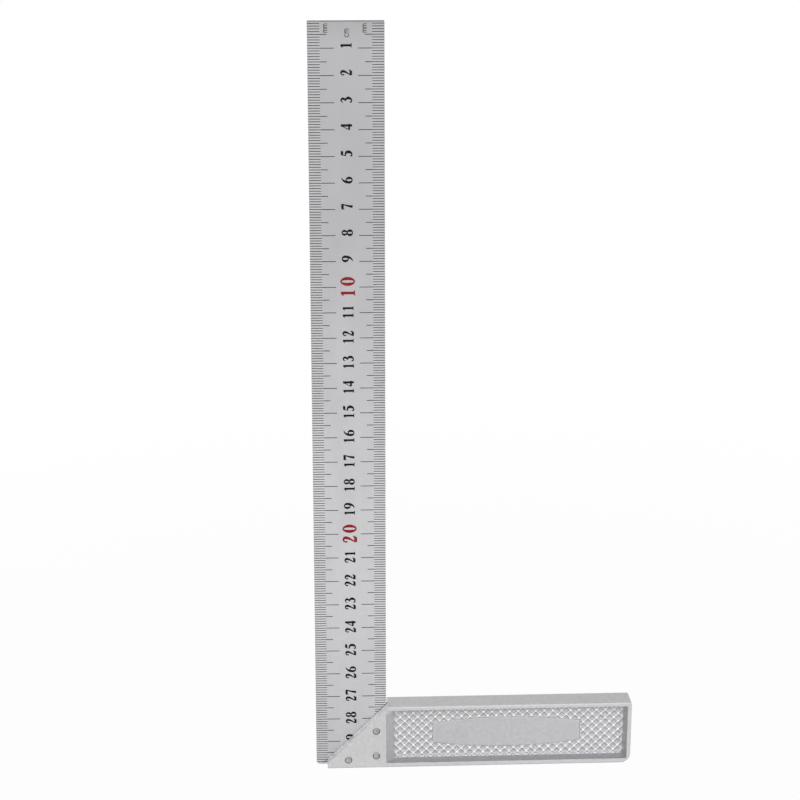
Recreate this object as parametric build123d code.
from build123d import *
import math
import os

# Steel try square with a cast aluminium stock, standing on the stock's outer face.
# Sizes are in millimetres. X runs from the blade's outer edge along the stock, Y through the thickness
# and Z up along the blade. Everything is drawn with X = 0 on the blade's outer edge and Z = 0 on the
# stock's outer face, and is centred along X when it is written.

# Blade: a flat steel rule, 300 mm long.
blade_length = 300.0
blade_width = 28.5
blade_thickness = 1.0
tip_corner_radius = 0.4
foot_corner_radius = 1.5

# Stock: the thick short leg that holds the blade.
reach = 128.5                       # blade's outer edge to the stock's free end
stock_height = 26.9
stock_thickness = 10.0
edge_round = 0.6
upper_end_radius = 1.0
lower_end_radius = 4.0

# Slotted end of the stock: two cheeks cut off at 45 degrees, with a blunt toe.
mitre_foot = 2.35                   # where the 45-degree line would reach the outer face
toe_x = 4.5
slot_end_x = 29.4                   # the slot runs a little deeper than the blade's inner edge

# Sunk panel in each side of the stock: a rectangle with sloped walls.
panel_left_x = 28.3
panel_bottom_z = 1.94
panel_depth = 3.8
left_wall_run = 4.1                 # how far each wall runs inwards on its way to the floor
right_wall_run = 1.65
long_wall_run = 0.95

# Floor of the panel: crossing 45-degree ribs that leave diamond pits between them.
rib_pitch = 3.57                    # a diamond's diagonal
diamonds_long = 26
diamonds_high = 6
rib_height = 0.45
rib_top_width = 0.25
pit_wall_run = 0.22

# Plain plate in the middle of the ribs, with bowed long edges and a fine groove round it.
plate_length = 59.9
plate_end_height = 8.2
plate_bow = 2.2
plate_groove = 0.4
smallest_pit_share = 0.26           # a pit that the plate leaves smaller than this is left out

# Rivets: plain pins, peened and ground flush with both cheeks.
rivet_radius = 1.55
rivet_places = {
    "rivet_upper": (24.4, 16.3),
    "rivet_lower": (24.4, 5.3),
    "rivet_toe": (13.0, 3.7),
}

half_thickness = stock_thickness / 2
floor_length = diamonds_long * rib_pitch
floor_height = diamonds_high * rib_pitch
floor_left_x = panel_left_x + left_wall_run
floor_bottom_z = panel_bottom_z + long_wall_run
panel_length = left_wall_run + floor_length + right_wall_run
panel_height = floor_height + 2 * long_wall_run
plate_centre_x = panel_left_x + panel_length / 2
plate_centre_z = panel_bottom_z + panel_height / 2
rib_top_depth = panel_depth - rib_height


def slab(outline, low_y, high_y):
    """A plate with this outline in X and Z, between two levels of Y."""
    return extrude(Plane.XZ.offset(-high_y) * outline, amount=high_y - low_y)


def blade():
    """The rule: a long strip with lightly rounded tip corners and one rounded foot corner."""
    outline = Pos(blade_width / 2, blade_length / 2) * Rectangle(blade_width, blade_length)
    foot_corner = outline.vertices().sort_by_distance((0, 0, 0))[0]
    outline = fillet(foot_corner, foot_corner_radius)
    tip_corners = outline.vertices().group_by(Axis.Y)[-1]
    outline = fillet(tip_corners, tip_corner_radius)
    strip = slab(outline, -blade_thickness / 2, blade_thickness / 2)
    return strip - list(all_rivets().values())


def blank():
    """The stock's outer form: a bar with a mitred end, a blunt toe and rounded outer edges."""
    corners = [
        (toe_x, 0),
        (reach, 0),
        (reach, stock_height),
        (stock_height + mitre_foot, stock_height),
        (toe_x, toe_x - mitre_foot),
    ]
    outline = make_face(Polyline(*corners, close=True))
    end_corners = outline.vertices().group_by(Axis.X)[-1].sort_by(Axis.Y)
    outline = fillet(end_corners[0], lower_end_radius)
    upper_corner = outline.vertices().sort_by_distance((reach, stock_height, 0))[0]
    outline = fillet(upper_corner, upper_end_radius)
    bar = slab(outline, -half_thickness, half_thickness)
    rims = [
        edge
        for side in bar.faces().filter_by(Axis.Y)
        for edge in side.edges()
        if edge.center().Z < 0.01 or edge.center().X > stock_height + mitre_foot
    ]
    return fillet(rims, edge_round)


def slot():
    """The saw cut that the blade sits in, open at the toe, at the outer face and at the inner face."""
    cut = Pos(slot_end_x / 2, stock_height / 2) * Rectangle(slot_end_x, 2 * stock_height)
    return slab(cut, -blade_thickness / 2, blade_thickness / 2)


def panel_section(depth):
    """The panel's rectangle at one depth below the front side, drawn at that depth."""
    share = depth / panel_depth
    low_x = panel_left_x + left_wall_run * share
    high_x = panel_left_x + panel_length - right_wall_run * share
    height = panel_height - 2 * long_wall_run * share
    middle_z = panel_bottom_z + panel_height / 2
    rectangle = Pos((low_x + high_x) / 2, middle_z) * Rectangle(high_x - low_x, height)
    return Plane.XZ.offset(half_thickness - depth) * rectangle


def plate_outline(margin):
    """The plain plate's outline, grown by a margin: straight ends and bowed long edges."""
    half_length = plate_length / 2 + margin
    half_end = plate_end_height / 2 + margin
    top = ThreePointArc((-half_length, half_end), (0, half_end + plate_bow), (half_length, half_end))
    right = Line((half_length, half_end), (half_length, -half_end))
    bottom = ThreePointArc((half_length, -half_end), (0, -half_end - plate_bow), (-half_length, -half_end))
    left = Line((-half_length, -half_end), (-half_length, half_end))
    return Pos(plate_centre_x, plate_centre_z) * make_face([top, right, bottom, left])


def pit():
    """One diamond pit: a square frustum on its corner, wide at the rib tops and narrower at the floor."""
    side = rib_pitch / math.sqrt(2) - rib_top_width
    mouth = Plane.XZ.offset(half_thickness - rib_top_depth) * Rectangle(side, side, rotation=45)
    floor_side = side - 2 * pit_wall_run
    floor = Plane.XZ.offset(half_thickness - panel_depth) * Rectangle(floor_side, floor_side, rotation=45)
    return loft([mouth, floor], ruled=True)


def pits():
    """The pits of the whole floor, cut short at the panel's walls and at the plate's groove."""
    ribbed = Pos(floor_left_x + floor_length / 2, floor_bottom_z + floor_height / 2)
    ribbed = ribbed * Rectangle(floor_length, floor_height) - plate_outline(plate_groove / 2)
    allowed = slab(ribbed, -half_thickness, 0)
    one_pit = pit()
    full_volume = one_pit.volume
    cut_outs = []
    for column in range(2 * diamonds_long + 1):
        for row in range(2 * diamonds_high + 1):
            if (column + row) % 2 == 1:
                continue
            x = floor_left_x + column * rib_pitch / 2
            z = floor_bottom_z + row * rib_pitch / 2
            kept = Pos(x, 0, z) * one_pit & allowed
            for solid in kept.solids():
                if solid.volume > smallest_pit_share * full_volume:
                    cut_outs.append(solid)
    return cut_outs


def front_panel():
    """Everything cut out of the front side: the sunk panel, its diamond pits and the plate's groove."""
    recess = loft([panel_section(-0.01), panel_section(rib_top_depth)], ruled=True)
    ring = plate_outline(plate_groove) - plate_outline(0)
    groove = slab(ring, -half_thickness + rib_top_depth - 0.01, -half_thickness + panel_depth)
    return [recess, groove] + pits()


def rivet(x, z):
    """One rivet: a solid pin through both cheeks and the blade."""
    return slab(Pos(x, z) * Circle(rivet_radius), -half_thickness, half_thickness)


def all_rivets():
    return {name: rivet(x, z) for name, (x, z) in rivet_places.items()}


def stock():
    """The casting: blank, slot, rivet holes and a ribbed panel sunk into each side."""
    front_cuts = front_panel()
    back_cuts = [mirror(cut, about=Plane.XZ) for cut in front_cuts]
    body = blank() - slot() - list(all_rivets().values())
    return body - front_cuts - back_cuts


def write(shape, node):
    """Write one node, with the whole square centred along X."""
    export_step(Pos(-reach / 2, 0, 0) * shape, f"parts/{node}.step")


os.makedirs("parts", exist_ok=True)
write(blade(), "blade")
write(stock(), "stock")
for name, shape in all_rivets().items():
    write(shape, name)
